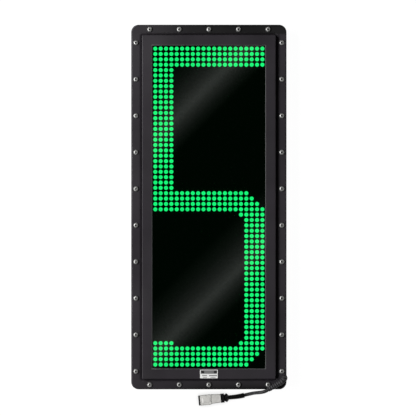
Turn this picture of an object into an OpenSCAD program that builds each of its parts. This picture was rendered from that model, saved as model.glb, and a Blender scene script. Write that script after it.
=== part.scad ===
// LED number display for vehicles, lying on its back.
// +Z points out of the display face, +Y to the top of the digit, +X to its right.
// The back of the pan lies at z = 0.

/* [LED matrix] */
// Distance between neighbouring LEDs
led_pitch = 10; // [9:0.5:12]
// LEDs across the matrix
led_columns = 21; // [17:2:25]
// LED rows on each of the three boards
board_rows = 20; // [16:2:24]
// Diameter of an LED
led_d = 8; // [5:0.5:8.5]
// Height of an LED above its board
led_h = 8.5; // [6:0.5:10]
// Width of the digit's strokes, counted in LEDs
stroke_count = 4; // [2:1:5]
// How far the matrix sits above the middle of the window
led_rise = 0.8; // [0:0.1:1]

/* [Window and bezel] */
// Bare window beside the outermost LEDs
window_gap_side = 1.25; // [1:0.25:5]
// Bare window above and below the outermost LEDs
window_gap_end = 2.2; // [1.2:0.1:6]
// Width of the bezel's side bars
bezel_bar_side = 19.75; // [18.5:0.25:26]
// Width of the bezel's top and bottom bars
bezel_bar_end = 20; // [18.5:0.5:26]
// Height of the bezel above the flange
bezel_rise = 8; // [7:0.5:12]
// Corner radius of the bezel
bezel_corner_r = 3; // [2.5:0.5:6]
// Radius of the bezel's front outer edge
bezel_edge_r = 2; // [1:0.25:2.25]
// Corner radius of the window
window_corner_r = 1.5; // [1:0.25:3]
// Chamfer round the window
window_chamfer = 1.2; // [0.5:0.1:1.8]
// Depth of the roll-off from the flange down to the foot of the bezel
dish_d = 2.2; // [1:0.1:2.5]
// Thickness of the bezel's lip in front of the lens
lip_t = 3; // [2.5:0.25:4]

/* [Flange] */
// Width of the flange at the sides
flange_side = 20; // [18:0.5:26]
// Width of the flange at the top and bottom
flange_end = 19.2; // [18:0.2:26]
// Thickness of the front frame's flange
flange_t = 4; // [3:0.25:6]
// Radius of the flange's front outer edge
flange_edge_r = 2.5; // [1:0.25:2.75]
// Corner radius of the flange
corner_r = 14; // [11:0.5:20]

/* [Lens] */
// Thickness of the lens
lens_t = 3; // [2:0.25:4]
// How far the lens reaches behind the bezel
lens_lap = 7; // [5:0.5:8]
// Thickness of the lens seal
seal_t = 1; // [0.5:0.25:1.5]
// Thickness of the lens retainers
retainer_t = 2; // [1.5:0.25:3]
// Width of the lens retainers
retainer_w = 10.5; // [10:0.25:11]
// Retainer screws along each long side
retainer_side_count = 7; // [4:1:10]
// Retainer screws along each short side
retainer_end_count = 3; // [2:1:4]

/* [Back pan] */
// Depth of the pan from its back to the front of its flange
pan_depth = 26; // [25:0.5:40]
// Wall and floor of the pan
pan_wall = 3; // [2.5:0.25:4]
// Thickness of the pan's flange
pan_flange_t = 3; // [2.5:0.25:4]
// Corner radius of the pan
pan_corner_r = 8; // [7:0.5:12]
// Radius of the pan's back edge
pan_edge_r = 3; // [1:0.25:4]
// Thickness of the gasket between pan and frame
gasket_t = 2; // [1:0.25:3]
// Diameter of the bosses that carry the LED boards
board_boss_d = 8; // [6.5:0.5:9]
// Height of the bosses that carry the controller and the converter
module_boss_h = 5; // [4:0.5:6]

/* [Cover screws] */
// Shank diameter of the cover screws
screw_d = 5; // [4:0.5:5.5]
// Head diameter of the cover screws
screw_head_d = 9.2; // [8:0.2:10]
// Head height of the cover screws
screw_head_h = 2.8; // [2:0.2:3.5]
// Hexagon socket of the cover screws, across flats
screw_socket = 3.5; // [2.5:0.5:4]
// Outer diameter of the washers
washer_d = 10.4; // [10:0.2:12]
// Thickness of the washers
washer_t = 1; // [0.5:0.25:1.5]
// Cover nuts, across flats
nut_af = 8; // [7:0.5:9]
// Height of the cover nuts
nut_h = 4; // [3:0.5:5]
// Distance of the screws from the flange's edge
screw_inset = 8.9; // [7.5:0.1:9]
// Screws along the top and along the bottom
screw_end_count = 5; // [3:1:6]
// Screws along each side
screw_side_count = 10; // [6:1:11]
// First screw of the top and bottom rows, from the flange's side edge
screw_end_start = 34.5; // [30:0.5:40]
// First screw of the side rows, from the flange's top edge
screw_side_start = 33.8; // [32:0.2:40]

/* [Mounting] */
// Spacing of the threaded inserts across
insert_spacing_x = 130; // [120:5:150]
// Spacing of the threaded inserts up and down
insert_spacing_y = 460; // [420:5:480]
// Bore of the threaded inserts
insert_bore = 8; // [6:0.5:8]
// Outer diameter of the threaded inserts
insert_d = 12; // [10.5:0.5:14]
// Length of the threaded inserts
insert_l = 12; // [9:0.5:13]

/* [Rating plate] */
// Width of the rating plate
plate_w = 33; // [20:1:60]
// Height of the rating plate
plate_h = 16; // [8:0.5:17]
// Thickness of the rating plate
plate_t = 0.6; // [0.3:0.1:1]

/* [Cable] */
// Diameter of the cable
cable_d = 6.5; // [4:0.25:7]
// Diameter of the sleeve at the connector
sleeve_d = 8; // [7.2:0.2:9]
// How much wider the sleeve is at its free end
sleeve_flare = 1.4; // [0:0.2:2]
// Diameter of the cable guard where it passes the flange
guard_root_d = 9.6; // [8.6:0.2:11]
// Diameter of the cable guard where the cable leaves it
guard_tip_d = 7.4; // [7:0.2:8]
// Height of the guard's ribs
guard_rib = 0.6; // [0.2:0.1:0.8]
// Neck diameter of the cable gland
gland_neck_d = 9; // [8:0.5:9.5]
// Hexagon of the cable gland and its nut, across flats
gland_af = 13; // [12:0.5:13.5]

/* [Connector] */
// Width and height of the connector's front half
connector_size = 18.6; // [17:0.2:20]
// Width and height of the connector's rear half where it leaves the backshell
connector_rear_size = 15.4; // [12:0.2:16]
// Step on each side between the connector's halves
connector_step = 0.8; // [0.4:0.1:1.4]
// Length of the connector's front half
connector_front_l = 20.5; // [15:0.5:26]
// Length of the connector's rear half
connector_rear_l = 18; // [12:0.5:24]
// Diameter of the connector's nut
connector_nut_d = 16; // [15:0.2:18]
// Width of the connector's latch
latch_w = 8; // [6:0.5:10]
// Length of the connector's latch
latch_l = 15; // [12:0.5:18]
// Height of the connector's latch above its body
latch_h = 0.8; // [0.5:0.1:2]
// Contacts in each of the connector's two rows
contacts_row = 3; // [2:1:4]

/* [Hidden] */

// Fits and steps
hole_clear = 0.5;
bore_clear = 0.2;
lens_clear = 0.4;
seal_clear = 0.6;
gasket_inset = 1;
board_gap = 0.5;
lens_gap = 2.5;
guard_clear = 0.4;
washer_gap = 0.2;
cut = 1;
arc_steps = 5;

// Matrix, window, bezel and flange
board_count = 3;
led_rows = board_rows * board_count;
window_w = (led_columns - 1) * led_pitch + led_d + 2 * window_gap_side;
window_h = (led_rows - 1) * led_pitch + led_d + 2 * window_gap_end;
bezel_w = window_w + 2 * bezel_bar_side;
bezel_h = window_h + 2 * bezel_bar_end;
housing_w = bezel_w + 2 * flange_side;
housing_h = bezel_h + 2 * flange_end;

// Levels above the back
z_frame = pan_depth + gasket_t;
z_flange = z_frame + flange_t;
z_bezel = z_flange + bezel_rise;
z_lip = z_bezel - lip_t;
z_lens_front = z_lip - seal_t;
z_lens_back = z_lens_front - lens_t;
z_board = z_lens_back - lens_gap - led_h;

// Pan, lens and retainers
pan_w = bezel_w;
pan_h = bezel_h;
mouth_w = pan_w - 2 * pan_wall;
mouth_h = pan_h - 2 * pan_wall;
mouth_r = pan_corner_r - pan_wall;
lens_w = window_w + 2 * lens_lap;
lens_h = window_h + 2 * lens_lap;
lens_r = 2;
seal_w = 5;
retainer_lap = 4.5;
retainer_x = lens_w / 2 - retainer_lap;
retainer_y = lens_h / 2 - retainer_lap;
retainer_screw_out = 3.2;
retainer_mid = retainer_lap + retainer_screw_out;
frame_strip = 10;
dish_w = flange_end - screw_inset - washer_d / 2 - washer_gap;
dish_r = (dish_w * dish_w + dish_d * dish_d) / (2 * dish_d);
retainer_inset_side = 20;
retainer_inset_end = 35;

// Small screws
small_d = 3;
small_head_d = 5.2;
small_head_h = 2;
small_pilot_d = small_d + bore_clear;
small_depth = 4;

// Boards and what they carry
board_t = 1.6;
board_margin = 0.75;
board_w = (led_columns - 1) * led_pitch + led_d + 2 * board_margin;
board_h = board_rows * led_pitch - board_gap;
board_y = board_rows * led_pitch;
header_w = 30;
header_d = 8;
header_h = 5;
ribbon_w = 24;
ribbon_t = 1.2;
link_l = 40;

// Controller and converter
z_module = pan_wall + module_boss_h;
controller_w = 90;
controller_h = 70;
controller_drop = 30;
controller_at = [0, led_rise - board_y / 2 - controller_drop, z_module];
z_ribbon = z_board - board_t - header_h;
module_boss_d = 7;
module_edge = 5;
converter_w = 96;
converter_h = 48;
converter_t = 9;
converter_ear = 10;
converter_ear_t = 2.5;
converter_gap = 26;
converter_at = controller_at - [0, (controller_h + converter_h) / 2 + converter_gap, 0];
chip_main = [14, 14, 1.6];
chip_side = [8, 5, 1.8];
chip_side_at = [30, 4];
header_edge = 2;

// Cable run, measured from the flange's lower right corner
cable_corner = [housing_w / 2, -housing_h / 2, 0];
gland_y = 40;
gland_z = 10;
gland_hex_l = 5;
gland_nut_t = 4;
gland_end = 1;
gland_x = -flange_side;
guard_at = [-4, 21];
guard_sides = 14;
guard_steps = 4;
notch_point = 10;
cable_sides = 10;
connector_z = connector_size / 2;
guard_end = [-34, -0.1, z_flange + 5];
guard_lead = [-3.5, -2.1, -0.4];

// Guard: from the gland under the flange, up through the notch and over the corner
guard_route = [
    [gland_x + gland_hex_l, gland_y, gland_z], [gland_x + gland_hex_l + 2, gland_y, gland_z],
    [gland_x + gland_hex_l + 4, gland_y, gland_z], [-9, 38.5, gland_z - 0.6], [-8, 35.8, gland_z - 1],
    [-7.4, 32.4, gland_z - 0.8], [-6.8, 29, gland_z + 0.6], [-5.9, 25.6, gland_z + 3.6],
    [-4.7, 22.6, gland_z + 8], [guard_at.x, guard_at.y, z_frame - 4], [guard_at.x, guard_at.y, z_flange],
    [-5, 18.8, z_flange + 4], [-7.8, 15.6, z_flange + 6], [-11.4, 12.9, z_flange + 6.2],
    [-15.2, 10.8, z_flange + 6], [-19, 8.7, z_flange + 5.9], [-23, 6.4, z_flange + 5.8],
    guard_end - 2 * guard_lead, guard_end - guard_lead, guard_end
];

// Free cable: x, y and the share of the drop that is still to come
cable_drop = [
    [-41.2, -3.8, 0.969], [-45, -4.85, 0.931], [-48.8, -5.55, 0.862], [-52.6, -6.15, 0.748],
    [-56.4, -6.8, 0.539], [-60.2, -7.65, 0.276], [-64, -8.55, 0.145], [-67.5, -9.4, 0.07],
    [-70.8, -10.2, 0.026], [-73.6, -10.9, 0.007], [-76.3, -11.55, 0], [-79, -12.2, 0]
];
cable_route = concat(
    [guard_end, guard_end + guard_lead],
    [for (p = cable_drop) [p.x, p.y, connector_z + (guard_end.z - connector_z) * p.z]]
);
sleeve_route = [
    [-79, -12.2, connector_z], [-81.7, -12.85, connector_z], [-86, -13.75, connector_z],
    [-91, -14.6, connector_z], [-96, -15.25, connector_z], [-101, -15.75, connector_z],
    [-104.5, -16.08, connector_z], [-108, -16.41, connector_z]
];

// Connector lengths, from the sleeve forwards
connector_nut_l = 8;
backshell_l = 7;
backshell_size = 16.4;
connector_edge = 2;
face_l = 3;
face_inset = 0.3;
contact_d = 2.2;
contact_depth = 2;
contact_pitch = [4, 6];
flute_count = 14;
flute_r = 1.2;
flute_out = 0.5;
nut_nose = 0.6;
nut_neck = 2.6;
nut_slope = 3;
front_shift = 0.5;
latch_start = 2;

// Lead inside the pan: from the gland up along the wall, then between the converter and the controller
// to the terminal block
terminal_size = [30, 12, 9];
terminal_edge = [14, 4];
terminal_at = controller_at
    + [controller_w / 2 - terminal_size.x - terminal_edge.x, terminal_edge.y - controller_h / 2, board_t];
lead_d = 5;
lead_seat = 0.5;
lead_bend = 8;
lead_straight = 1.5;
lead_start = cable_corner + [gland_x - pan_wall - gland_nut_t - gland_end, gland_y, gland_z];
lead_end = terminal_at + [terminal_size.x / 2, 0, lead_d / 2 + lead_seat];
lead_x = lead_start.x - lead_straight - lead_bend;
lead_y = controller_at.y - (controller_h + converter_gap) / 2;
lead_low = concat(
    [[lead_start.x, lead_start.y]],
    arc([lead_x + lead_bend, lead_start.y + lead_bend], lead_bend, 270, 180),
    arc([lead_x - lead_bend, lead_y - lead_bend], lead_bend, 0, 90)
);
lead_high = concat(
    arc([lead_end.x + lead_bend, lead_y + lead_bend], lead_bend, 270, 180),
    [[lead_end.x, lead_end.y]]
);
lead_route = concat(
    [for (p = lead_low) [p.x, p.y, lead_start.z]],
    [for (p = lead_high) [p.x, p.y, lead_end.z]]
);

// A point is lit when it lies on one of the strokes of the digit 5
middle = led_rows / 2 - stroke_count + 1;
last = led_rows - stroke_count;
function lit(c, r) =
    r < stroke_count
    || (c < stroke_count && r < middle + stroke_count)
    || (r >= middle && r < middle + stroke_count && c <= led_columns - stroke_count + r - middle)
    || (r >= middle + stroke_count && r < last && c >= led_columns - stroke_count)
    || ((r == middle + stroke_count || r == last - 1) && c == led_columns - stroke_count - 1)
    || (r == last - 1 && c < stroke_count)
    || (r >= last && c < led_columns - r + last);

// Places along a row, centred on zero
function spread(n, length) = [for (i = [0 : n - 1]) length * (i / (n - 1) - 0.5)];
screw_spots = concat(
    [for (s = [-1, 1], x = spread(screw_end_count, housing_w - 2 * screw_end_start))
        [x, s * (housing_h / 2 - screw_inset)]],
    [for (s = [-1, 1], y = spread(screw_side_count, housing_h - 2 * screw_side_start))
        [s * (housing_w / 2 - screw_inset), y]]
);
retainer_spots = concat(
    [for (s = [-1, 1], y = spread(retainer_side_count, lens_h - 2 * retainer_inset_side))
        [s * (retainer_x + retainer_mid), y]],
    [for (s = [-1, 1], x = spread(retainer_end_count, lens_w - 2 * retainer_inset_end))
        [x, s * (retainer_y + retainer_mid)]]
);
board_spots = [
    for (b = [-1 : 1], sx = [-1, 1], sy = [-1 : 1])
        [sx * (led_columns / 2 - 1) * led_pitch,
            led_rise + b * board_y + sy * (board_rows / 2 - 1) * led_pitch]
];
insert_spots = [for (sx = [-1, 1], sy = [-1, 1]) [sx * insert_spacing_x / 2, sy * insert_spacing_y / 2]];
controller_spots = [
    for (sx = [-1, 1], sy = [-1, 1])
        [controller_at.x + sx * (controller_w / 2 - module_edge),
            controller_at.y + sy * (controller_h / 2 - module_edge)]
];
converter_spots = [
    for (sx = [-1, 1], sy = [-1, 1])
        [converter_at.x + sx * (converter_w / 2 - module_edge),
            converter_at.y + sy * (converter_h / 2 - 2 * module_edge)]
];

// Points of an arc of the given radius about a centre
function arc(centre, r, from, to) =
    [for (i = [0 : arc_steps]) let (a = from + (to - from) * i / arc_steps) centre + r * [cos(a), sin(a)]];

// Sweep along points: directions, carried side vectors and smoothing
function unit(v) = v / norm(v);
function direction(p, i) = unit(p[min(i + 1, len(p) - 1)] - p[max(i - 1, 0)]);
function carried(v, t) = unit(v - (v * t) * t);
function side_vectors(p, start) = [
    for (i = 0, v = carried(start, direction(p, 0)); i < len(p); i = i + 1,
        v = i < len(p) ? carried(v, direction(p, i)) : v) v
];
function blend(a, b, c, d, t) =
    0.5 * (2 * b + (c - a) * t + (2 * a - 5 * b + 4 * c - d) * t * t + (3 * b - a - 3 * c + d) * t * t * t);
function smooth(p, steps) = concat(
    [for (i = [0 : len(p) - 2], j = [0 : steps - 1])
        blend(p[max(i - 1, 0)], p[i], p[i + 1], p[min(i + 2, len(p) - 1)], j / steps)],
    [p[len(p) - 1]]
);

module at_spots(spots) {
    for (p = spots)
        translate([p.x, p.y, 0]) children();
}

module rounded_rect(w, h, r) {
    square([w - 2 * r, h], center = true);
    square([w, h - 2 * r], center = true);
    for (sx = [-1, 1], sy = [-1, 1])
        translate([sx * (w / 2 - r), sy * (h / 2 - r)]) circle(r = r, $fn = 48);
}

module rounded_slab(w, h, r, from, to) {
    translate([0, 0, from]) linear_extrude(to - from) rounded_rect(w, h, r);
}

// Sweeps a profile round a rounded rectangle: its x is the distance outward, its y the height
module swept_rect(w, h, r) {
    for (s = [-1, 1]) {
        translate([s * w / 2, 0, 0]) rotate([90, 0, s < 0 ? 180 : 0])
            linear_extrude(h - 2 * r, center = true) children();
        translate([0, s * h / 2, 0]) rotate([90, 0, s * 90])
            linear_extrude(w - 2 * r, center = true) children();
    }
    for (q = [0 : 3])
        translate([(q == 0 || q == 3 ? 1 : -1) * (w / 2 - r), (q < 2 ? 1 : -1) * (h / 2 - r), 0])
            rotate([0, 0, 90 * q])
                rotate_extrude(angle = 90, $fn = 48) translate([r, 0]) children();
}

module tube(points, radii, sides) {
    n = len(points);
    side = side_vectors(points, [0, 0.6, 0.8]);
    vertices = [
        for (i = [0 : n - 1], k = [0 : sides - 1])
            let (u = side[i], v = cross(direction(points, i), u), a = 360 * k / sides)
            points[i] + radii[i] * (cos(a) * u + sin(a) * v)
    ];
    ends = [[for (k = [0 : sides - 1]) k], [for (k = [sides - 1 : -1 : 0]) (n - 1) * sides + k]];
    walls = [
        for (i = [0 : n - 2], k = [0 : sides - 1])
            let (a = i * sides + k, b = i * sides + (k + 1) % sides)
            [a, a + sides, b + sides, b]
    ];
    polyhedron(vertices, concat(ends, walls));
}

module hex_prism(af, h) {
    cylinder(d = af / cos(30), h = h, $fn = 6);
}

// Screw with its head on z = 0 and its shank below
module button_screw(d, l, head_d, head_h, socket) {
    difference() {
        union() {
            translate([0, 0, -l]) cylinder(d = d, h = l, $fn = 24);
            rotate_extrude($fn = 32)
                polygon([
                    [0, 0], [head_d / 2, 0], [head_d / 2, head_h * 0.2], [head_d * 0.45, head_h * 0.6],
                    [head_d * 0.36, head_h * 0.88], [head_d * 0.27, head_h], [0, head_h]
                ]);
        }
        translate([0, 0, head_h * 0.4]) hex_prism(socket, head_h);
    }
}

module small_screw(l) {
    button_screw(small_d, l, small_head_d, small_head_h, small_d * 0.6);
}

// Notch through which the cable guard passes the flange
module guard_notch() {
    translate(cable_corner + [guard_at.x, guard_at.y, 0])
        cylinder(d = guard_root_d + 2 * guard_rib + 2 * guard_clear, h = z_bezel, $fn = 48);
}

module pan_shell() {
    // Floor and walls with a round back edge, and the flange round the mouth
    rounded_slab(pan_w - 2 * pan_edge_r, pan_h - 2 * pan_edge_r, pan_corner_r - pan_edge_r, 0, pan_wall);
    swept_rect(pan_w, pan_h, pan_corner_r)
        polygon(concat(
            arc([-pan_edge_r, pan_edge_r], pan_edge_r, 270, 360),
            [[0, pan_depth], [-pan_wall, pan_depth], [-pan_wall, pan_wall], [-pan_edge_r, pan_wall]]
        ));
    difference() {
        rounded_slab(housing_w, housing_h, corner_r, pan_depth - pan_flange_t, pan_depth);
        rounded_slab(pan_w, pan_h, pan_corner_r, pan_depth - pan_flange_t - cut, pan_depth + cut);
    }
}

module back_pan() {
    color([0.16, 0.16, 0.17]) difference() {
        union() {
            pan_shell();
            at_spots(board_spots)
                translate([0, 0, pan_wall])
                    cylinder(d = board_boss_d, h = z_board - board_t - pan_wall, $fn = 32);
            at_spots(concat(controller_spots, converter_spots))
                translate([0, 0, pan_wall]) cylinder(d = module_boss_d, h = module_boss_h, $fn = 32);
            at_spots(insert_spots)
                translate([0, 0, pan_wall])
                    cylinder(d = insert_d + 2 * pan_wall, h = insert_l, $fn = 32);
        }
        at_spots(board_spots)
            translate([0, 0, z_board - board_t - small_depth - cut])
                cylinder(d = small_pilot_d, h = z_board, $fn = 24);
        at_spots(concat(controller_spots, converter_spots))
            translate([0, 0, z_module - small_depth]) cylinder(d = small_pilot_d, h = z_module, $fn = 24);
        at_spots(insert_spots)
            translate([0, 0, -cut]) cylinder(d = insert_d + bore_clear, h = insert_l + cut, $fn = 32);
        at_spots(screw_spots)
            cylinder(d = screw_d + hole_clear, h = z_bezel, $fn = 24);
        guard_notch();
        translate(cable_corner + [gland_x - pan_wall - cut, gland_y, gland_z]) rotate([0, 90, 0])
            cylinder(d = gland_neck_d + bore_clear, h = pan_wall + 2 * cut, $fn = 32);
    }
}

module pan_gasket() {
    color([0.09, 0.09, 0.09]) difference() {
        rounded_slab(housing_w - 2 * gasket_inset, housing_h - 2 * gasket_inset, corner_r - gasket_inset,
            pan_depth, z_frame);
        rounded_slab(mouth_w, mouth_h, mouth_r, pan_depth - cut, z_frame + cut);
        at_spots(screw_spots) cylinder(d = screw_d + hole_clear, h = z_bezel, $fn = 24);
        guard_notch();
    }
}

module frame_body() {
    rounded_slab(housing_w - 2 * frame_strip, housing_h - 2 * frame_strip, corner_r - frame_strip,
        z_frame, z_flange);
    swept_rect(housing_w, housing_h, corner_r)
        polygon(concat(
            [[-frame_strip, z_frame], [0, z_frame]],
            arc([-flange_edge_r, z_flange - flange_edge_r], flange_edge_r, 0, 90),
            [[-frame_strip, z_flange]]
        ));
    bezel_in = 2 * bezel_edge_r;
    rounded_slab(bezel_w - bezel_in, bezel_h - bezel_in, bezel_corner_r - bezel_edge_r, z_flange, z_bezel);
    swept_rect(bezel_w, bezel_h, bezel_corner_r)
        polygon(concat(
            [[-bezel_edge_r, z_flange], [0, z_flange]],
            arc([-bezel_edge_r, z_bezel - bezel_edge_r], bezel_edge_r, 0, 90)
        ));
}

module front_frame() {
    color([0.2, 0.19, 0.2]) difference() {
        frame_body();
        rounded_slab(mouth_w, mouth_h, mouth_r, z_frame - cut, z_lens_back);
        rounded_slab(lens_w + 2 * lens_clear, lens_h + 2 * lens_clear, lens_r, z_frame, z_lip);
        rounded_slab(window_w, window_h, window_corner_r, z_frame, z_bezel + cut);
        swept_rect(window_w, window_h, window_corner_r)
            polygon([
                [-window_corner_r / 2, z_bezel + cut], [-window_corner_r / 2, z_bezel - window_chamfer],
                [0, z_bezel - window_chamfer], [window_chamfer, z_bezel], [window_chamfer, z_bezel + cut]
            ]);
        swept_rect(bezel_w, bezel_h, bezel_corner_r)
            polygon(concat(
                [[0, z_flange + cut / 2], [dish_w, z_flange + cut / 2]],
                arc([dish_w, z_flange - dish_r], dish_r, 90, 90 + asin(dish_w / dish_r))
            ));
        at_spots(screw_spots) cylinder(d = screw_d + hole_clear, h = z_bezel, $fn = 24);
        at_spots(retainer_spots)
            translate([0, 0, z_frame])
                cylinder(d = small_pilot_d, h = z_lens_back + small_depth - z_frame, $fn = 24);
        guard_notch();
    }
}

module lens_seal() {
    color([0.07, 0.07, 0.07]) difference() {
        rounded_slab(lens_w - 2 * seal_clear, lens_h - 2 * seal_clear, lens_r, z_lens_front, z_lip);
        rounded_slab(lens_w - 2 * seal_clear - 2 * seal_w, lens_h - 2 * seal_clear - 2 * seal_w, lens_r,
            z_lens_front - cut, z_lip + cut);
    }
}

module window_lens() {
    color([0.05, 0.06, 0.06, 0.6]) rounded_slab(lens_w, lens_h, lens_r, z_lens_back, z_lens_front);
}

module lens_retainers() {
    color([0.72, 0.73, 0.75]) difference() {
        for (s = [-1, 1]) {
            translate([s * (retainer_x + retainer_w / 2), 0, z_lens_back - retainer_t / 2])
                cube([retainer_w, 2 * (retainer_y + retainer_w), retainer_t], center = true);
            translate([0, s * (retainer_y + retainer_w / 2), z_lens_back - retainer_t / 2])
                cube([2 * (retainer_x - lens_clear), retainer_w, retainer_t], center = true);
        }
        at_spots(retainer_spots) cylinder(d = small_d + hole_clear, h = z_bezel, $fn = 24);
    }
}

module retainer_screws() {
    color([0.62, 0.63, 0.65])
        at_spots(retainer_spots)
            translate([0, 0, z_lens_back - retainer_t]) mirror([0, 0, 1])
                small_screw(retainer_t + small_depth - cut);
}

// One LED board: the row is 1 for the top one, 0 for the middle one, -1 for the bottom one
module led_board(row) {
    color([0.06, 0.09, 0.07]) difference() {
        translate([-board_w / 2, led_rise + row * board_y - board_h / 2, z_board - board_t])
            cube([board_w, board_h, board_t]);
        at_spots([for (p = board_spots) if (abs(p.y - led_rise - row * board_y) < board_y / 2) p])
            cylinder(d = small_d + hole_clear, h = z_bezel, $fn = 24);
    }
}

module led_board_top() { led_board(1); }

module led_board_middle() { led_board(0); }

module led_board_bottom() { led_board(-1); }

module led() {
    r = led_d / 2;
    rotate_extrude($fn = 24)
        polygon([
            [0, 0], [r, 0], [r, led_h - r * 0.75], [r * 0.84, led_h - r * 0.3], [r * 0.5, led_h], [0, led_h]
        ]);
}

module leds(want) {
    for (r = [0 : led_rows - 1])
        for (c = [0 : led_columns - 1])
            if (lit(c, r) == want)
                translate([0, led_rise, z_board])
                    translate([c - (led_columns - 1) / 2, (led_rows - 1) / 2 - r] * led_pitch) led();
}

module lit_leds() { color([0.1, 1, 0.45]) leds(true); }

module dark_leds() { color([0.05, 0.07, 0.06]) leds(false); }

module board_screws() {
    color([0.25, 0.25, 0.26])
        at_spots(board_spots) translate([0, 0, z_board]) small_screw(board_t + small_depth);
}

module header_at(y) {
    translate([-header_w / 2, led_rise + y - header_d / 2, z_ribbon]) cube([header_w, header_d, header_h]);
}

// Links run from board to board across the joints, and the lower one also serves the controller
module board_headers() {
    color([0.1, 0.1, 0.1])
        for (joint = [-1, 1], s = [-1, 1])
            header_at((joint * board_y + s * link_l) / 2);
}

module ribbon_links() {
    color([0.55, 0.56, 0.58])
        for (y = [board_y / 2, -board_y / 2])
            translate([-ribbon_w / 2, led_rise + y - link_l / 2 - header_d / 2, z_ribbon - ribbon_t])
                cube([ribbon_w, link_l + header_d, ribbon_t]);
}

module controller_board() {
    color([0.05, 0.3, 0.16]) difference() {
        translate(controller_at - [controller_w / 2, controller_h / 2, 0])
            cube([controller_w, controller_h, board_t]);
        at_spots(controller_spots) cylinder(d = small_d + hole_clear, h = z_bezel, $fn = 24);
    }
}

module controller_chips() {
    color([0.08, 0.08, 0.08]) translate(controller_at + [0, 0, board_t]) {
        translate([-chip_main.x / 2, -chip_main.y / 2, 0]) cube(chip_main);
        for (s = [-1, 1])
            translate([s * chip_side_at.x - chip_side.x / 2, chip_side_at.y, 0]) cube(chip_side);
    }
}

module controller_header() {
    color([0.1, 0.1, 0.1])
        translate(controller_at + [-header_w / 2, controller_h / 2 - header_d - header_edge, board_t])
            cube([header_w, header_d, z_ribbon - ribbon_t - z_module - board_t]);
}

module input_terminal() {
    color([0.1, 0.42, 0.2]) translate(terminal_at) cube(terminal_size);
}

module controller_screws() {
    color([0.62, 0.63, 0.65])
        at_spots(controller_spots)
            translate([0, 0, z_module + board_t]) small_screw(board_t + small_depth - cut);
}

module power_converter() {
    color([0.22, 0.22, 0.24]) difference() {
        translate(converter_at) {
            translate([-converter_w / 2 + converter_ear, -converter_h / 2, 0])
                cube([converter_w - 2 * converter_ear, converter_h, converter_t]);
            translate([-converter_w / 2, -converter_h / 2, 0])
                cube([converter_w, converter_h, converter_ear_t]);
        }
        at_spots(converter_spots) cylinder(d = small_d + hole_clear, h = z_bezel, $fn = 24);
    }
}

module converter_screws() {
    color([0.62, 0.63, 0.65])
        at_spots(converter_spots)
            translate([0, 0, z_module + converter_ear_t]) small_screw(converter_ear_t + small_depth - cut);
}

module supply_lead() {
    color([0.12, 0.12, 0.12])
        tube(lead_route, [for (p = lead_route) lead_d / 2], cable_sides);
}

module cover_screws() {
    color([0.78, 0.78, 0.77])
        at_spots(screw_spots)
            translate([0, 0, z_flange + washer_t])
                button_screw(screw_d, washer_t + z_flange - pan_depth + pan_flange_t + nut_h + cut,
                    screw_head_d, screw_head_h, screw_socket);
}

module cover_washers() {
    color([0.3, 0.3, 0.31])
        at_spots(screw_spots) translate([0, 0, z_flange]) difference() {
            cylinder(d = washer_d, h = washer_t, $fn = 32);
            translate([0, 0, -cut]) cylinder(d = screw_d + bore_clear, h = washer_t + 2 * cut, $fn = 24);
        }
}

module cover_nuts() {
    color([0.7, 0.7, 0.7])
        at_spots(screw_spots) translate([0, 0, pan_depth - pan_flange_t - nut_h]) difference() {
            hex_prism(nut_af, nut_h);
            translate([0, 0, -cut]) cylinder(d = screw_d + bore_clear, h = nut_h + 2 * cut, $fn = 24);
        }
}

module mount_inserts() {
    color([0.72, 0.6, 0.32])
        at_spots(insert_spots) difference() {
            cylinder(d = insert_d, h = insert_l, $fn = 32);
            translate([0, 0, -cut]) cylinder(d = insert_bore, h = insert_l + 2 * cut, $fn = 24);
        }
}

module rating_plate() {
    color([0.9, 0.9, 0.9])
        translate([-plate_w / 2, -window_h / 2 - (bezel_bar_end + plate_h) / 2, z_bezel])
            cube([plate_w, plate_h, plate_t]);
}

module cable_gland() {
    color([0.1, 0.1, 0.1]) translate(cable_corner + [gland_x, gland_y, gland_z]) rotate([0, 90, 0]) {
        rotate([0, 0, 30]) hex_prism(gland_af, gland_hex_l);
        translate([0, 0, -pan_wall - gland_nut_t - gland_end])
            cylinder(d = gland_neck_d, h = pan_wall + gland_nut_t + gland_end, $fn = 32);
    }
}

module gland_nut() {
    color([0.1, 0.1, 0.1])
        translate(cable_corner + [gland_x - pan_wall - gland_nut_t, gland_y, gland_z])
            rotate([0, 90, 0]) difference() {
                rotate([0, 0, 30]) hex_prism(gland_af, gland_nut_t);
                translate([0, 0, -cut])
                    cylinder(d = gland_neck_d + bore_clear, h = gland_nut_t + 2 * cut, $fn = 32);
            }
}

module cable_guard() {
    path = smooth(guard_route, guard_steps);
    at_notch = notch_point * guard_steps;
    full = guard_root_d / 2;
    start = gland_af / 2 - guard_rib;
    radii = [
        for (i = [0 : len(path) - 1])
            let (rib = i % guard_steps < guard_steps / 2 ? 0 : guard_rib)
            rib + (i < at_notch
                ? start + (full - start) * i / at_notch
                : full + (guard_tip_d / 2 - full) * (i - at_notch) / (len(path) - 1 - at_notch))
    ];
    color([0.13, 0.13, 0.14]) translate(cable_corner) tube(path, radii, guard_sides);
}

module signal_cable() {
    color([0.2, 0.2, 0.21]) translate(cable_corner)
        tube(cable_route, [for (p = cable_route) cable_d / 2], cable_sides);
}

module cable_sleeve() {
    last_ring = len(sleeve_route) - 1;
    color([0.06, 0.06, 0.06]) translate(cable_corner)
        tube(sleeve_route,
            [for (i = [0 : last_ring]) (sleeve_d + sleeve_flare * (1 - i / last_ring)) / 2], cable_sides);
}

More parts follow.
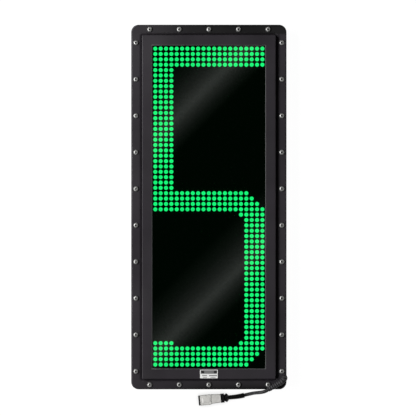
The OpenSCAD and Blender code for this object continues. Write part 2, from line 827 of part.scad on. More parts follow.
// Puts the connector's own X axis in line with the end of the sleeve
module at_connector(x) {
    end = sleeve_route[len(sleeve_route) - 1];
    back = sleeve_route[len(sleeve_route) - 2];
    translate(cable_corner + end)
        rotate([0, 0, atan2(end.y - back.y, end.x - back.x)])
            translate([x, 0, 0]) rotate([90, 0, 90]) children();
}

module connector_nut() {
    r = connector_nut_d / 2;
    color([0.05, 0.05, 0.05]) at_connector(0) difference() {
        rotate_extrude($fn = 48)
            polygon([
                [0, 0], [sleeve_d / 2 + nut_nose, 0], [r, nut_slope], [r, connector_nut_l - nut_slope],
                [r - nut_neck, connector_nut_l], [0, connector_nut_l]
            ]);
        for (i = [0 : flute_count - 1])
            rotate([0, 0, 360 * (i + 0.5) / flute_count])
                translate([r + flute_out, 0, -cut])
                    cylinder(r = flute_r, h = connector_nut_l + 2 * cut, $fn = 16);
    }
}

// Square bar with round edges, whose size may grow along it
module rounded_box(size, l, grow = 1) {
    linear_extrude(l, scale = grow) rounded_rect(size, size, connector_edge);
}

module connector_backshell() {
    color([0.06, 0.06, 0.06]) at_connector(connector_nut_l) rounded_box(backshell_size, backshell_l);
}

// Latch on the top of the front half: a tongue with a sloping nose
module connector_latch() {
    top = connector_size / 2;
    translate([front_shift - latch_w / 2, 0, connector_rear_l + latch_start])
        rotate([0, 90, 0]) mirror([1, 0, 0])
            linear_extrude(latch_w)
                polygon([[0, 0], [latch_l, 0], [latch_l, top], [latch_l - 3 * latch_h, top + latch_h],
                    [0, top + latch_h]]);
}

module connector_body() {
    start = connector_nut_l + backshell_l;
    color([0.66, 0.66, 0.63]) at_connector(start) {
        rounded_box(connector_rear_size, connector_rear_l,
            (connector_size - 2 * connector_step) / connector_rear_size);
        translate([front_shift, 0, connector_rear_l]) rounded_box(connector_size, connector_front_l);
        connector_latch();
    }
}

module connector_face() {
    start = connector_nut_l + backshell_l + connector_rear_l + connector_front_l;
    color([0.05, 0.05, 0.05]) at_connector(start) translate([front_shift, 0, 0]) difference() {
        rounded_box(connector_size - 2 * face_inset, face_l);
        for (i = [0 : contacts_row - 1], s = [-1, 1])
            translate([(i - (contacts_row - 1) / 2) * contact_pitch.x, s * contact_pitch.y / 2,
                face_l - contact_depth])
                cylinder(d = contact_d, h = face_l, $fn = 20);
    }
}

back_pan();
pan_gasket();
front_frame();
lens_seal();
window_lens();
lens_retainers();
retainer_screws();
led_board_top();
led_board_middle();
led_board_bottom();
lit_leds();
dark_leds();
board_screws();
board_headers();
ribbon_links();
controller_board();
controller_chips();
controller_header();
input_terminal();
controller_screws();
power_converter();
converter_screws();
supply_lead();
cover_screws();
cover_washers();
cover_nuts();
mount_inserts();
rating_plate();
cable_gland();
gland_nut();
cable_guard();
signal_cable();
cable_sleeve();
connector_nut();
connector_backshell();
connector_body();
connector_face();
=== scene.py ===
import math

import bpy
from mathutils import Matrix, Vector


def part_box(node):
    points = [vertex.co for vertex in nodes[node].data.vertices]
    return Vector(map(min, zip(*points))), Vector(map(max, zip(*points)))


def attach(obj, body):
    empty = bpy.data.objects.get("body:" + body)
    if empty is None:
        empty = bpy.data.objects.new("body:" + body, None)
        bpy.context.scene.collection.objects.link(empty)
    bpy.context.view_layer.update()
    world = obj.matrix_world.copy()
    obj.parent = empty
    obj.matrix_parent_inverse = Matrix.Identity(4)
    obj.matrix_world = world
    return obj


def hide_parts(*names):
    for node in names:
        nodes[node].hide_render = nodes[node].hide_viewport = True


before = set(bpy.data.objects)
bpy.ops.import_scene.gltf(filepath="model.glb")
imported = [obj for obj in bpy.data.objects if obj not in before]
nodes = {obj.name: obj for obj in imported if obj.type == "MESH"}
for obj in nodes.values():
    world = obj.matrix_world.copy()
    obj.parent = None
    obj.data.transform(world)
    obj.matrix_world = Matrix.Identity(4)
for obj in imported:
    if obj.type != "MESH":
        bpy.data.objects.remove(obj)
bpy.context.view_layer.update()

MM = 0.001

# Sizes and places that the looks share with the frame, in metres
LED_PITCH = 10 * MM
LENS_LAP = 7 * MM
SOCKET_DEPTH = 1.68 * MM
flange_low, flange_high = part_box("front_frame")
lens_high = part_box("window_lens")[1]
plate_low, plate_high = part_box("rating_plate")
HOUSING_HALF = (flange_high[0], flange_high[1])
CORNER = Vector((flange_high[0], flange_low[1], 0))
WINDOW_HALF = (lens_high[0] - LENS_LAP, lens_high[1] - LENS_LAP)
LENS_FRONT = lens_high[2]
Z_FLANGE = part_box("cover_washers")[0][2]
SOCKET_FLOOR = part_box("cover_screws")[1][2] - SOCKET_DEPTH
MATRIX_Y = (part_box("led_board_top")[1][1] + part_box("led_board_bottom")[0][1]) / 2
PLATE_MIDDLE = [(a + b) / 2 for a, b in zip(plate_low, plate_high)]

# Camera: straight above the face, far enough away for nearly parallel sight lines. The frame's width is what
# it sees at the flange, in metres
CAMERA_AT = (-1.6 * MM, -1.8 * MM, 6.0)
SENSOR = 36.0
FRAME_WIDTH = 0.7765
CAMERA_REACH = 50

# Cable run, measured from the flange's lower right corner, in millimetres
GUARD_ROUTE = [
    (-15, 40, 10), (-13, 40, 10), (-11, 40, 10), (-9, 38.5, 9.4), (-8, 35.8, 9), (-7.4, 32.4, 9.2),
    (-6.8, 29, 10.6), (-5.9, 25.6, 13.6), (-4.7, 22.6, 18), (-4, 21, 24), (-4, 21, 32),
    (-5, 18.8, 36), (-7.8, 15.6, 38), (-11.4, 12.9, 38.2), (-15.2, 10.8, 38), (-19, 8.7, 37.9),
    (-23, 6.4, 37.8), (-27, 4.1, 37.8), (-30.5, 2, 37.4), (-34, -0.1, 37),
]
CABLE_ROUTE = [
    (-34, -0.1, 37), (-37.5, -2.2, 36.6), (-41.2, -3.8, 36.14), (-45, -4.85, 35.09), (-48.8, -5.55, 33.18),
    (-52.6, -6.15, 30.02), (-56.4, -6.8, 24.23), (-60.2, -7.65, 16.95), (-64, -8.55, 13.32),
    (-67.5, -9.4, 11.24), (-70.8, -10.2, 10.02), (-73.6, -10.9, 9.49), (-76.3, -11.55, 9.3),
    (-79, -12.2, 9.3),
]
SLEEVE_ROUTE = [
    (-79, -12.2, 9.3), (-81.7, -12.85, 9.3), (-86, -13.75, 9.3), (-91, -14.6, 9.3), (-96, -15.25, 9.3),
    (-101, -15.75, 9.3), (-104.5, -16.08, 9.3), (-108, -16.41, 9.3),
]
CABLE_D = 6.5 * MM
SLEEVE_R = (4.7 * MM, 4.0 * MM)
GUARD_R = (5.9 * MM, 4.8 * MM, 3.7 * MM)
# Point of the guard's route that lies in the flange's notch
NOTCH_POINT = 10
GUARD_RIB = 0.9 * MM
GUARD_RIB_PITCH = 4.2 * MM
GUARD_RIB_FULLNESS = 0.4
# Steps between two points of a route, and the fineness of the cable's round section
GUARD_STEPS = 12
SLEEVE_STEPS = 8
CABLE_STEPS = 6
CABLE_ROUNDNESS = 8


# Node helpers

def add(tree, kind, inputs=None, **settings):
    """Adds a node. settings are its properties, and inputs are values or the outputs that feed it."""
    node = tree.nodes.new(kind)
    for key, value in settings.items():
        setattr(node, key, value)
    for key, value in (inputs or {}).items():
        if isinstance(value, bpy.types.NodeSocket):
            tree.links.new(value, node.inputs[key])
        else:
            node.inputs[key].default_value = value
    return node


def calc(tree, operation, a, b=0.0, c=0.0):
    """One step of arithmetic on single values."""
    return add(tree, "ShaderNodeMath", {0: a, 1: b, 2: c}, operation=operation).outputs[0]


def vector(tree, operation, a, b=(0, 0, 0)):
    """One step of arithmetic on vectors."""
    return add(tree, "ShaderNodeVectorMath", {0: a, 1: b}, operation=operation)


def spread(tree, value, low, high):
    """Stretches a value from 0..1 to low..high."""
    return add(tree, "ShaderNodeMapRange", {"Value": value, "To Min": low, "To Max": high}).outputs[0]


def ramp(tree, value, stops):
    """Colours along a value: stops are (place, colour or grey level)."""
    node = add(tree, "ShaderNodeValToRGB", {"Fac": value})
    elements = node.color_ramp.elements
    while len(elements) < len(stops):
        elements.new(0.5)
    for element, (place, colour) in zip(elements, stops):
        element.position = place
        grey = isinstance(colour, (int, float))
        element.color = (colour, colour, colour, 1) if grey else (*colour, 1)
    return node.outputs["Color"]


def noise(tree, place, scale, detail=4.0, stretch=(1, 1, 1)):
    """Soft noise at a place, with its grain in cells per metre."""
    scaled = vector(tree, "MULTIPLY", place, stretch).outputs[0]
    return add(tree, "ShaderNodeTexNoise", {"Vector": scaled, "Scale": scale, "Detail": detail}).outputs[0]


def mixed(tree, factor, a, b, blend="MIX"):
    """Blends colour a into colour b."""
    colours = [(*c, 1) if isinstance(c, tuple) else c for c in (a, b)]
    node = add(tree, "ShaderNodeMix", data_type="RGBA", blend_type=blend)
    for socket, value in zip((0, 6, 7), (factor, *colours)):
        if isinstance(value, bpy.types.NodeSocket):
            tree.links.new(value, node.inputs[socket])
        else:
            node.inputs[socket].default_value = value
    return node.outputs[2]


# Levels of the noise at which a surface's patches are darkest and lightest
PATCH_RANGE = (0.3, 0.7)


def surface(name, colour, rough, patch=40.0, grain=1500.0, vary=0.15, rough_vary=0.1, bump=0.2,
            depth=0.1 * MM, stretch=(1, 1, 1), **fixed):
    """A material with patchy colour and gloss and a fine grain in relief. fixed are its shader's values."""
    material = bpy.data.materials.new(name)
    material.use_nodes = True
    tree = material.node_tree
    bsdf = tree.nodes["Principled BSDF"]
    place = add(tree, "ShaderNodeTexCoord").outputs["Object"]
    patches = noise(tree, place, patch)
    fine = noise(tree, place, grain, detail=3.0, stretch=stretch)
    darker = [c * (1 - vary) for c in colour]
    lighter = [c * (1 + vary) for c in colour]
    tone = ramp(tree, patches, list(zip(PATCH_RANGE, (darker, lighter))))
    gloss = spread(tree, patches, rough + rough_vary, rough - rough_vary)
    relief = add(tree, "ShaderNodeBump", {"Height": fine, "Strength": bump, "Distance": depth})
    tree.links.new(tone, bsdf.inputs["Base Color"])
    tree.links.new(gloss, bsdf.inputs["Roughness"])
    tree.links.new(relief.outputs[0], bsdf.inputs["Normal"])
    for key, value in fixed.items():
        bsdf.inputs[key.replace("_", " ")].default_value = value
    return material, tree, bsdf, place, tone


def plain(*args, **settings):
    """A material that needs no more than its surface."""
    return surface(*args, **settings)[0]


# Materials

# Painted shade of the housing from its lower end to its upper end: the top and bottom flanges are painted
# darker, as if less lit, and their gloss is lower; and how far that holds from its left side to its right
END_SHADE = [
    (0.0, 0.0), (0.012, 0.5), (0.022, 0.85), (0.028, 1.0), (0.972, 1.0), (0.976, 0.15), (1.0, 0.0),
]
END_SHINE = [
    (0.0, 0.08), (0.008, 0.22), (0.024, 0.25), (0.028, 0.27), (0.972, 0.27), (0.976, 0.235), (0.994, 0.235),
    (1.0, 0.03),
]
FULL_SHINE = 0.27
END_REACH = [(0.0, 0.05), (0.12, 0.15), (0.5, 1.0)]
# Uneven gloss of the housing: blotches per metre, and the least and the most that they make of it
BLOTCHES = 9.0
BLOTCH_SHINE = (0.2, 1.8)
# Painted highlight along the window's edge: grey of the plastic there from left to right, lighter on the
# left, and how much of that shows across the highlight's width
WINDOW_EDGE_HIGHLIGHT = [(0.15, 0.13), (0.2, 0.066), (1.0, 0.056)]
WINDOW_EDGE_HIGHLIGHT_WIDTH = 3 * MM
WINDOW_EDGE_HIGHLIGHT_SHARE = [(0.0, 0.85), (0.38, 0.75), (0.5, 0.0)]


def housing_material():
    """Dark moulded plastic, with a painted highlight along the window's edge and painted shade on its end
    flanges.
    """
    material, tree, bsdf, place, tone = surface(
        "housing_plastic", (0.013, 0.0106, 0.014), 0.52, patch=16, grain=1100, vary=0.28, bump=0.25)
    spot = add(tree, "ShaderNodeSeparateXYZ", {0: place})
    across = calc(tree, "MULTIPLY_ADD", spot.outputs["X"], 0.5 / HOUSING_HALF[0], 0.5)
    upward = calc(tree, "MULTIPLY_ADD", spot.outputs["Y"], 0.5 / HOUSING_HALF[1], 0.5)
    reach = ramp(tree, across, END_REACH)
    # Painted shade: the colour of the top and bottom flanges is multiplied darker, fading out towards the
    # left side
    shade = mixed(tree, reach, (1, 1, 1), ramp(tree, upward, END_SHADE))
    shine = mixed(tree, reach, (FULL_SHINE,) * 3, ramp(tree, upward, END_SHINE))
    blotches = spread(tree, noise(tree, place, BLOTCHES, detail=2.0), *BLOTCH_SHINE)
    tree.links.new(calc(tree, "MULTIPLY", shine, blotches), bsdf.inputs["Specular IOR Level"])
    beyond = vector(tree, "SUBTRACT", vector(tree, "ABSOLUTE", place).outputs[0], (*WINDOW_HALF, 0))
    sides = add(tree, "ShaderNodeSeparateXYZ", {0: beyond.outputs[0]})
    outward = calc(tree, "MAXIMUM", sides.outputs["X"], sides.outputs["Y"])
    edge = ramp(tree, calc(tree, "DIVIDE", outward, WINDOW_EDGE_HIGHLIGHT_WIDTH), WINDOW_EDGE_HIGHLIGHT_SHARE)
    # Painted highlight: a lighter grey along the window's edge, strongest on the left side
    highlighted = mixed(tree, edge, mixed(tree, 1.0, tone, shade, "MULTIPLY"), ramp(tree, across, WINDOW_EDGE_HIGHLIGHT))
    tree.links.new(highlighted, bsdf.inputs["Base Color"])
    return material


# Glow of a lit LED from its middle to its rim, in LED pitches, and the weakest and strongest LED
LED_GLOW = [
    (0.0, (0.0063, 0.80, 0.16)), (0.09, (0.007, 0.86, 0.174)), (0.16, (0.0105, 1.0, 0.216)),
    (0.31, (0.0105, 1.0, 0.216)), (0.37, (0.0045, 0.6, 0.115)), (0.395, (0.0003, 0.03, 0.006)),
]
LED_STRENGTH = (2.8, 3.15)


def led_place(tree, place):
    """Distance from the middle of the nearest LED, and which LED it is, in LED pitches."""
    centred = vector(tree, "SUBTRACT", place, (0, MATRIX_Y, 0)).outputs[0]
    counted = vector(tree, "MULTIPLY", centred, (1 / LED_PITCH, 1 / LED_PITCH, 0))
    shifted = vector(tree, "ADD", counted.outputs[0], (0.5, 0, 0)).outputs[0]
    which = vector(tree, "FLOOR", shifted).outputs[0]
    inside = vector(tree, "FRACTION", shifted).outputs[0]
    middle = vector(tree, "SUBTRACT", inside, (0.5, 0.5, 0)).outputs[0]
    return vector(tree, "LENGTH", middle).outputs["Value"], which


def lit_led_material():
    """Green diffused LED: bright dome with a slightly darker die in the middle and a dimmer rim."""
    material, tree, bsdf, place, _ = surface("lit_led_epoxy", (0.01, 0.2, 0.06), 0.35, bump=0.05)
    radius, which = led_place(tree, place)
    own = add(tree, "ShaderNodeTexWhiteNoise", {"Vector": which}, noise_dimensions="3D").outputs["Value"]
    tree.links.new(ramp(tree, radius, LED_GLOW), bsdf.inputs["Emission Color"])
    tree.links.new(spread(tree, own, *LED_STRENGTH), bsdf.inputs["Emission Strength"])
    return material


# Printed fields of the rating plate, from its middle: x and y, half width and half height, in mm, and grey
PRINT = [
    (0, 3.7, 15.2, 3.7, 0.2), (0.3, 3.7, 9.3, 1.9, 0.13), (-11.6, 3.7, 2.9, 2.2, 0.004),
    (12.4, 3.7, 2.9, 2.2, 0.004), (-8.1, -3.1, 4.7, 1.0, 0.2), (7.7, -3.1, 7.5, 1.0, 0.14),
    (-7.2, -6.7, 3.7, 0.7, 0.25), (7.7, -6.7, 4.7, 0.7, 0.25),
]


def plate_material():
    """White printed plate with a dark band and a few plain bars."""
    material, tree, bsdf, place, tone = surface(
        "printed_plate", (0.68, 0.68, 0.672), 0.4, patch=150, grain=2500, vary=0.05, bump=0.08)
    spot = add(tree, "ShaderNodeSeparateXYZ", {0: vector(tree, "SUBTRACT", place, PLATE_MIDDLE).outputs[0]})
    for x, y, half_w, half_h, grey in PRINT:
        across = calc(tree, "COMPARE", spot.outputs["X"], x * MM, half_w * MM)
        upright = calc(tree, "COMPARE", spot.outputs["Y"], y * MM, half_h * MM)
        tone = mixed(tree, calc(tree, "MULTIPLY", across, upright), tone, (grey, grey, grey))
    tree.links.new(tone, bsdf.inputs["Base Color"])
    return material


# Painted shade on the floor of the cover screws' sockets: its grey, how near the socket floor's height it
# lies, and how level a face it needs
SOCKET_SHADE = (0.03, 0.03, 0.03)
SOCKET_BAND = 0.2 * MM
SOCKET_LEVEL = 0.9


def screw_material():
    """Plated steel, with painted shade on the floor of each cover screw's socket."""
    material, tree, bsdf, place, tone = surface(
        "plated_steel", (0.32, 0.32, 0.312), 0.48, patch=260, grain=2600, vary=0.2, Metallic=0.75)
    level = add(tree, "ShaderNodeSeparateXYZ", {0: place}).outputs["Z"]
    facing = add(tree, "ShaderNodeNewGeometry").outputs["True Normal"]
    upward = add(tree, "ShaderNodeSeparateXYZ", {0: facing}).outputs["Z"]
    floor = calc(tree, "MULTIPLY", calc(tree, "COMPARE", level, SOCKET_FLOOR, SOCKET_BAND),
                 calc(tree, "GREATER_THAN", upward, SOCKET_LEVEL))
    # Painted shade: the socket floors are coloured dark as if shaded
    tree.links.new(mixed(tree, floor, tone, SOCKET_SHADE), bsdf.inputs["Base Color"])
    return material


# Painted shade of the guard's rubber: its lightness from the grooves, painted dark, to the ribs' crests
GUARD_GROOVE_SHADE = [(0.3, 0.06), (0.85, 1.0)]


def guard_material():
    """Black rubber, with painted shade in the grooves between the guard's ribs."""
    material, tree, bsdf, _, tone = surface(
        "guard_rubber", (0.038, 0.0365, 0.0395), 0.6, patch=120, grain=1700, bump=0.25,
        Specular_IOR_Level=0.22)
    rib = add(tree, "ShaderNodeAttribute", attribute_name="rib").outputs["Fac"]
    # Painted shade: the rubber is darkened in the grooves and kept at full tone on the crests
    groove_shaded = mixed(tree, 1.0, tone, ramp(tree, rib, GUARD_GROOVE_SHADE), "MULTIPLY")
    tree.links.new(groove_shaded, bsdf.inputs["Base Color"])
    return material


housing = housing_material()
pan = plain("pan_plastic", (0.018, 0.018, 0.0195), 0.5, patch=20, grain=1200, bump=0.25,
            Specular_IOR_Level=0.3)
rubber = plain("black_rubber", (0.01, 0.01, 0.01), 0.72, grain=2200, bump=0.3)
board = plain("black_board", (0.004, 0.006, 0.005), 0.65, patch=60, grain=900, bump=0.1,
              Specular_IOR_Level=0.12)
green_board = plain("green_board", (0.008, 0.06, 0.028), 0.7, patch=90, grain=1400, bump=0.15,
                    Specular_IOR_Level=0.1)
dark_epoxy = plain("dark_led_epoxy", (0.003, 0.0045, 0.0038), 0.7, patch=100, grain=1800, bump=0.05,
                   Specular_IOR_Level=0.07)
chip = plain("chip_epoxy", (0.012, 0.012, 0.012), 0.6, patch=120, grain=2600, bump=0.2)
ribbon = plain("ribbon_cable", (0.02, 0.0205, 0.021), 0.7, patch=60, grain=700, stretch=(1, 0.05, 1),
               bump=0.4, Specular_IOR_Level=0.1)
terminal = plain("green_nylon", (0.04, 0.22, 0.08), 0.45, patch=90, grain=1500)
steel = plain("plain_steel", (0.62, 0.62, 0.61), 0.42, patch=260, grain=2600, vary=0.2, Metallic=1.0)
dark_steel = plain("blackened_steel", (0.045, 0.045, 0.047), 0.5, patch=200, grain=2200, Metallic=0.8)
aluminium = plain("aluminium", (0.6, 0.61, 0.62), 0.4, grain=900, stretch=(1, 0.03, 1), Metallic=1.0)
brass = plain("brass", (0.55, 0.39, 0.15), 0.38, patch=150, grain=2000, Metallic=1.0)
converter_case = plain("converter_case", (0.04, 0.04, 0.045), 0.5, patch=80, grain=1400)
black_plastic = plain("black_nylon", (0.0025, 0.0025, 0.0028), 0.42, patch=120, grain=1800, bump=0.25,
                      Specular_IOR_Level=0.16)
grey_plastic = plain("grey_nylon", (0.475, 0.468, 0.448), 0.5, patch=110, grain=1600, vary=0.1, bump=0.25)
cable_jacket = plain("cable_jacket", (0.011, 0.011, 0.0122), 0.5, patch=150, grain=1500, bump=0.2,
                     Specular_IOR_Level=0.28)
sleeve_tube = plain("shrink_sleeve", (0.0022, 0.0022, 0.0022), 0.3, patch=140, grain=500, bump=0.35,
                    Specular_IOR_Level=0.2)
guard_rubber = guard_material()
# Smoked polycarbonate with a trace of waviness, and a faint painted glow for the green light it scatters from
# the LEDs
lens = plain(
    "smoked_lens", (0.35, 0.355, 0.35), 0.03, patch=8, grain=14, vary=0.02, rough_vary=0.012, bump=0.02,
    depth=0.2 * MM, Transmission_Weight=1.0, IOR=1.5, Emission_Color=(0.06, 1.0, 0.25, 1.0),
    Emission_Strength=0.0009)

LOOKS = {
    housing: ["front_frame"],
    pan: ["back_pan"],
    rubber: ["pan_gasket", "lens_seal"],
    lens: ["window_lens"],
    aluminium: ["lens_retainers"],
    steel: ["retainer_screws", "controller_screws", "converter_screws", "cover_nuts"],
    screw_material(): ["cover_screws"],
    board: ["led_board_top", "led_board_middle", "led_board_bottom"],
    lit_led_material(): ["lit_leds"],
    dark_epoxy: ["dark_leds"],
    dark_steel: ["board_screws", "cover_washers"],
    black_plastic: ["board_headers", "controller_header", "cable_gland", "gland_nut", "connector_nut",
                    "connector_backshell", "connector_face"],
    ribbon: ["ribbon_links"],
    green_board: ["controller_board"],
    chip: ["controller_chips"],
    terminal: ["input_terminal"],
    converter_case: ["power_converter"],
    cable_jacket: ["supply_lead"],
    brass: ["mount_inserts"],
    plate_material(): ["rating_plate"],
    grey_plastic: ["connector_body"],
}
for material, names in LOOKS.items():
    for name in names:
        nodes[name].data.materials.clear()
        nodes[name].data.materials.append(material)


# Cable guard, cable and sleeve

def placed(route):
    """A route's points in the row frame, in metres."""
    return [CORNER + Vector(p) * MM for p in route]


def smoothed(points, steps):
    """A finer run of points through the given ones."""
    fine = []
    last = len(points) - 1
    for i in range(last):
        a, b, c, d = (points[min(max(k, 0), last)] for k in range(i - 1, i + 3))
        for j in range(steps):
            t = j / steps
            fine.append(0.5 * (2 * b + (c - a) * t + (2 * a - 5 * b + 4 * c - d) * t ** 2
                               + (3 * b - a - 3 * c + d) * t ** 3))
    return fine + [points[-1]]


def lengths(points):
    """Distance along the points, from the first one to each."""
    run = [0.0]
    for a, b in zip(points, points[1:]):
        run.append(run[-1] + (b - a).length)
    return run


TUBE_SIDES = 36
# Direction from which a tube's first ring is laid out
TUBE_FROM = Vector((0, 0.6, 0.8))


def tube(name, points, radii, material):
    """A closed, smooth tube along the points."""
    sides = TUBE_SIDES
    last = len(points) - 1
    side = TUBE_FROM
    verts = []
    for i, (point, radius) in enumerate(zip(points, radii)):
        along = (points[min(i + 1, last)] - points[max(i - 1, 0)]).normalized()
        side = (side - along * side.dot(along)).normalized()
        other = along.cross(side)
        for k in range(sides):
            angle = 2 * math.pi * k / sides
            verts.append(point + radius * (math.cos(angle) * side + math.sin(angle) * other))
    faces = [list(range(sides))[::-1], [last * sides + k for k in range(sides)]]
    for i in range(last):
        for k in range(sides):
            a, b = i * sides + k, i * sides + (k + 1) % sides
            faces.append([a, b, b + sides, a + sides])
    mesh = bpy.data.meshes.new(name)
    mesh.from_pydata(verts, [], faces)
    mesh.polygons.foreach_set("use_smooth", [len(f) == 4 for f in faces])
    mesh.materials.append(material)
    piece = bpy.data.objects.new(name, mesh)
    bpy.context.collection.objects.link(piece)
    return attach(piece, "root")


def guard_radius(distance, notch, end):
    """Radius of the guard's core: it narrows from the gland to the notch and on to its tip."""
    start, full, tip = GUARD_R
    if distance < notch:
        return start + (full - start) * distance / notch
    return full + (tip - full) * (distance - notch) / (end - notch)


def guard_rib(distance):
    """How far the guard's ribs rise, from 0 to 1: round ribs with narrow grooves."""
    return (0.5 - 0.5 * math.cos(2 * math.pi * distance / GUARD_RIB_PITCH)) ** GUARD_RIB_FULLNESS


guard_line = smoothed(placed(GUARD_ROUTE), GUARD_STEPS)
guard_run = lengths(guard_line)
guard_notch = guard_run[NOTCH_POINT * GUARD_STEPS]
guard_radii = [guard_radius(d, guard_notch, guard_run[-1]) + GUARD_RIB * guard_rib(d) for d in guard_run]
guard = tube("cable_guard_ribbed", guard_line, guard_radii, guard_rubber)
ribs = guard.data.attributes.new("rib", "FLOAT", "POINT")
ribs.data.foreach_set("value", [guard_rib(d) for d in guard_run for _ in range(TUBE_SIDES)])
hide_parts("cable_guard")

sleeve_line = smoothed(placed(SLEEVE_ROUTE), SLEEVE_STEPS)
sleeve_run = lengths(sleeve_line)
sleeve_radii = [SLEEVE_R[0] + (SLEEVE_R[1] - SLEEVE_R[0]) * d / sleeve_run[-1] for d in sleeve_run]
sleeve = tube("cable_sleeve_shrunk", sleeve_line, sleeve_radii, sleeve_tube)
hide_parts("cable_sleeve")

cable_line = smoothed(placed(CABLE_ROUTE), CABLE_STEPS)
curve = bpy.data.curves.new("signal_cable_jacket", "CURVE")
curve.dimensions = "3D"
curve.bevel_depth = CABLE_D / 2
curve.bevel_resolution = CABLE_ROUNDNESS
curve.use_fill_caps = True
spline = curve.splines.new("POLY")
spline.points.add(len(cable_line) - 1)
for point, place in zip(spline.points, cable_line):
    point.co = (*place, 1)
spline.use_smooth = True
curve.materials.append(cable_jacket)
cable = bpy.data.objects.new("signal_cable_jacket", curve)
bpy.context.collection.objects.link(cable)
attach(cable, "root")
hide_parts("signal_cable")


# Studio

def sheet(name, width, height, at, material):
    """A flat rectangle that belongs to the studio."""
    mesh = bpy.data.meshes.new(name)
    corners = [(-width / 2, -height / 2, 0), (width / 2, -height / 2, 0), (width / 2, height / 2, 0),
               (-width / 2, height / 2, 0)]
    mesh.from_pydata(corners, [], [(0, 1, 2, 3)])
    mesh.materials.append(material)
    piece = bpy.data.objects.new(name, mesh)
    piece.location = at
    bpy.context.collection.objects.link(piece)
    return piece


def bare_material(name):
    """An empty material: its tree and its output node."""
    material = bpy.data.materials.new(name)
    material.use_nodes = True
    material.node_tree.nodes.clear()
    return material, material.node_tree, add(material.node_tree, "ShaderNodeOutputMaterial")


FLOOR_SIZE = 8
FLOOR_Z = -0.1 * MM
# Diffuse grey of the floor's paper over its mottles, mottles per metre, how bright it is seen in the shadow
# and out of it, and how far the shadow reaches, in metres
PAPER = [(0.3, 0.05), (0.7, 0.06)]
MOTTLES = 6.0
FLOOR_SEEN = (0.6, 0.98)
SHADOW_REACH = 0.008
SHADOW_SAMPLES = 12


def floor_material():
    """White sweep: bright where it is looked at, with a soft shadow close to the object."""
    material, tree, output = bare_material("studio_floor")
    place = add(tree, "ShaderNodeTexCoord").outputs["Object"]
    matte = add(tree, "ShaderNodeBsdfDiffuse", {"Color": ramp(tree, noise(tree, place, MOTTLES), PAPER)})
    near = add(tree, "ShaderNodeAmbientOcclusion", {"Distance": SHADOW_REACH}, samples=SHADOW_SAMPLES)
    path = add(tree, "ShaderNodeLightPath").outputs
    seen = calc(tree, "MAXIMUM", path["Is Camera Ray"],
                calc(tree, "MAXIMUM", path["Is Glossy Ray"], path["Is Transmission Ray"]))
    glow = add(tree, "ShaderNodeEmission", {
        "Strength": calc(tree, "MULTIPLY", seen, spread(tree, near.outputs["AO"], *FLOOR_SEEN))})
    both = add(tree, "ShaderNodeAddShader", {0: matte.outputs[0], 1: glow.outputs[0]})
    tree.links.new(both.outputs[0], output.inputs["Surface"])
    return material


# Two slanting strips of light above the lens: where along x minus y they peak, in metres on the lens, and how
# they fall off to both sides
GLARE_FROM, GLARE_TO = -0.42, 0.42
GLARE_PEAKS = {-0.228: 1.0, 0.171: 0.92}
GLARE_SHAPE = [
    (-0.102, 0.0), (-0.061, 0.13), (-0.031, 0.37), (-0.011, 0.73), (0.0, 1.0), (0.010, 0.78),
    (0.020, 0.47), (0.041, 0.15), (0.065, 0.0),
]
GLARE_LEVEL = 0.76
GLARE_TINT = (0.92, 1.0, 0.93)
PANEL_HEIGHT = 1.3
PANEL_SIZE = (0.4, 0.9)


def glare_material(scale):
    """Glow of the strip panel, on which the strips are wider than on the lens by scale."""
    material, tree, output = bare_material("strip_panel")
    place = add(tree, "ShaderNodeTexCoord").outputs["Object"]
    spot = add(tree, "ShaderNodeSeparateXYZ", {0: place})
    slant = calc(tree, "SUBTRACT", spot.outputs["X"], spot.outputs["Y"])
    span = (GLARE_TO - GLARE_FROM) * scale
    share = calc(tree, "MULTIPLY_ADD", slant, 1 / span, -GLARE_FROM * scale / span)
    stops = [((peak + offset - GLARE_FROM) / (GLARE_TO - GLARE_FROM), [full * level * c for c in GLARE_TINT])
             for peak, full in GLARE_PEAKS.items() for offset, level in GLARE_SHAPE]
    glow = add(tree, "ShaderNodeEmission", {"Color": ramp(tree, share, stops), "Strength": GLARE_LEVEL})
    tree.links.new(glow.outputs[0], output.inputs["Surface"])
    return material


sheet("floor", FLOOR_SIZE, FLOOR_SIZE, (0, 0, FLOOR_Z), floor_material())
mirror_scale = 1 + (PANEL_HEIGHT - LENS_FRONT) / (CAMERA_AT[2] - LENS_FRONT)
panel_at = (CAMERA_AT[0] * (1 - mirror_scale), CAMERA_AT[1] * (1 - mirror_scale), PANEL_HEIGHT)
panel = sheet("strip_panel", *PANEL_SIZE, panel_at, glare_material(mirror_scale))
panel.visible_camera = False
panel.visible_diffuse = False
panel.visible_transmission = False
panel.visible_shadow = False

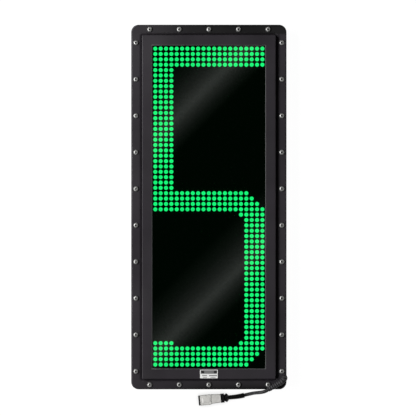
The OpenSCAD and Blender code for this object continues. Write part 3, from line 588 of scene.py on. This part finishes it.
# Key lamp: a large soft box to the left
KEY_ELEVATION = math.radians(47)
KEY_TURN = math.radians(8)
KEY_DISTANCE = 2.4
KEY_SIZE = (2.4, 0.8)
KEY_POWER = 99.0
key_data = bpy.data.lights.new("key", "AREA")
key_data.shape = "RECTANGLE"
key_data.size, key_data.size_y = KEY_SIZE
key_data.energy = KEY_POWER
key = bpy.data.objects.new("key", key_data)
key_level = math.cos(KEY_ELEVATION)
key.location = KEY_DISTANCE * Vector((
    -key_level * math.cos(KEY_TURN), key_level * math.sin(KEY_TURN), math.sin(KEY_ELEVATION)))
key.rotation_euler = (-key.location).to_track_quat("-Z", "Y").to_euler()
bpy.context.collection.objects.link(key)
# The lens doesn't mirror the key lamp, which would hide the digit from the right
key_skips = bpy.data.collections.new("key_skips")
key_skips.objects.link(nodes["window_lens"])
key_skips.collection_objects[0].light_linking.link_state = "EXCLUDE"
key.light_linking.receiver_collection = key_skips

# Grey of the room from the horizon up to the zenith
ROOM = [(0.0, 0.33), (0.5, 0.18), (0.9, 0.045), (0.97, 0.003)]
world = bpy.data.worlds.new("studio")
bpy.context.scene.world = world
world.use_nodes = True
sky = world.node_tree
sky.nodes.clear()
height = add(sky, "ShaderNodeSeparateXYZ", {0: add(sky, "ShaderNodeTexCoord").outputs["Generated"]})
room = add(sky, "ShaderNodeBackground", {"Color": ramp(sky, height.outputs["Z"], ROOM)})
white = add(sky, "ShaderNodeBackground", {"Color": (1, 1, 1, 1)})
shown = add(sky, "ShaderNodeMixShader", {
    0: add(sky, "ShaderNodeLightPath").outputs["Is Camera Ray"], 1: room.outputs[0], 2: white.outputs[0]})
sky.links.new(shown.outputs[0], add(sky, "ShaderNodeOutputWorld").inputs["Surface"])

camera_data = bpy.data.cameras.new("camera")
camera_data.sensor_width = SENSOR
camera_data.lens = SENSOR * (CAMERA_AT[2] - Z_FLANGE) / FRAME_WIDTH
camera_data.clip_end = CAMERA_REACH
camera = bpy.data.objects.new("camera", camera_data)
camera.location = CAMERA_AT
bpy.context.collection.objects.link(camera)
bpy.context.scene.camera = camera
bpy.context.scene.view_settings.view_transform = "Standard"
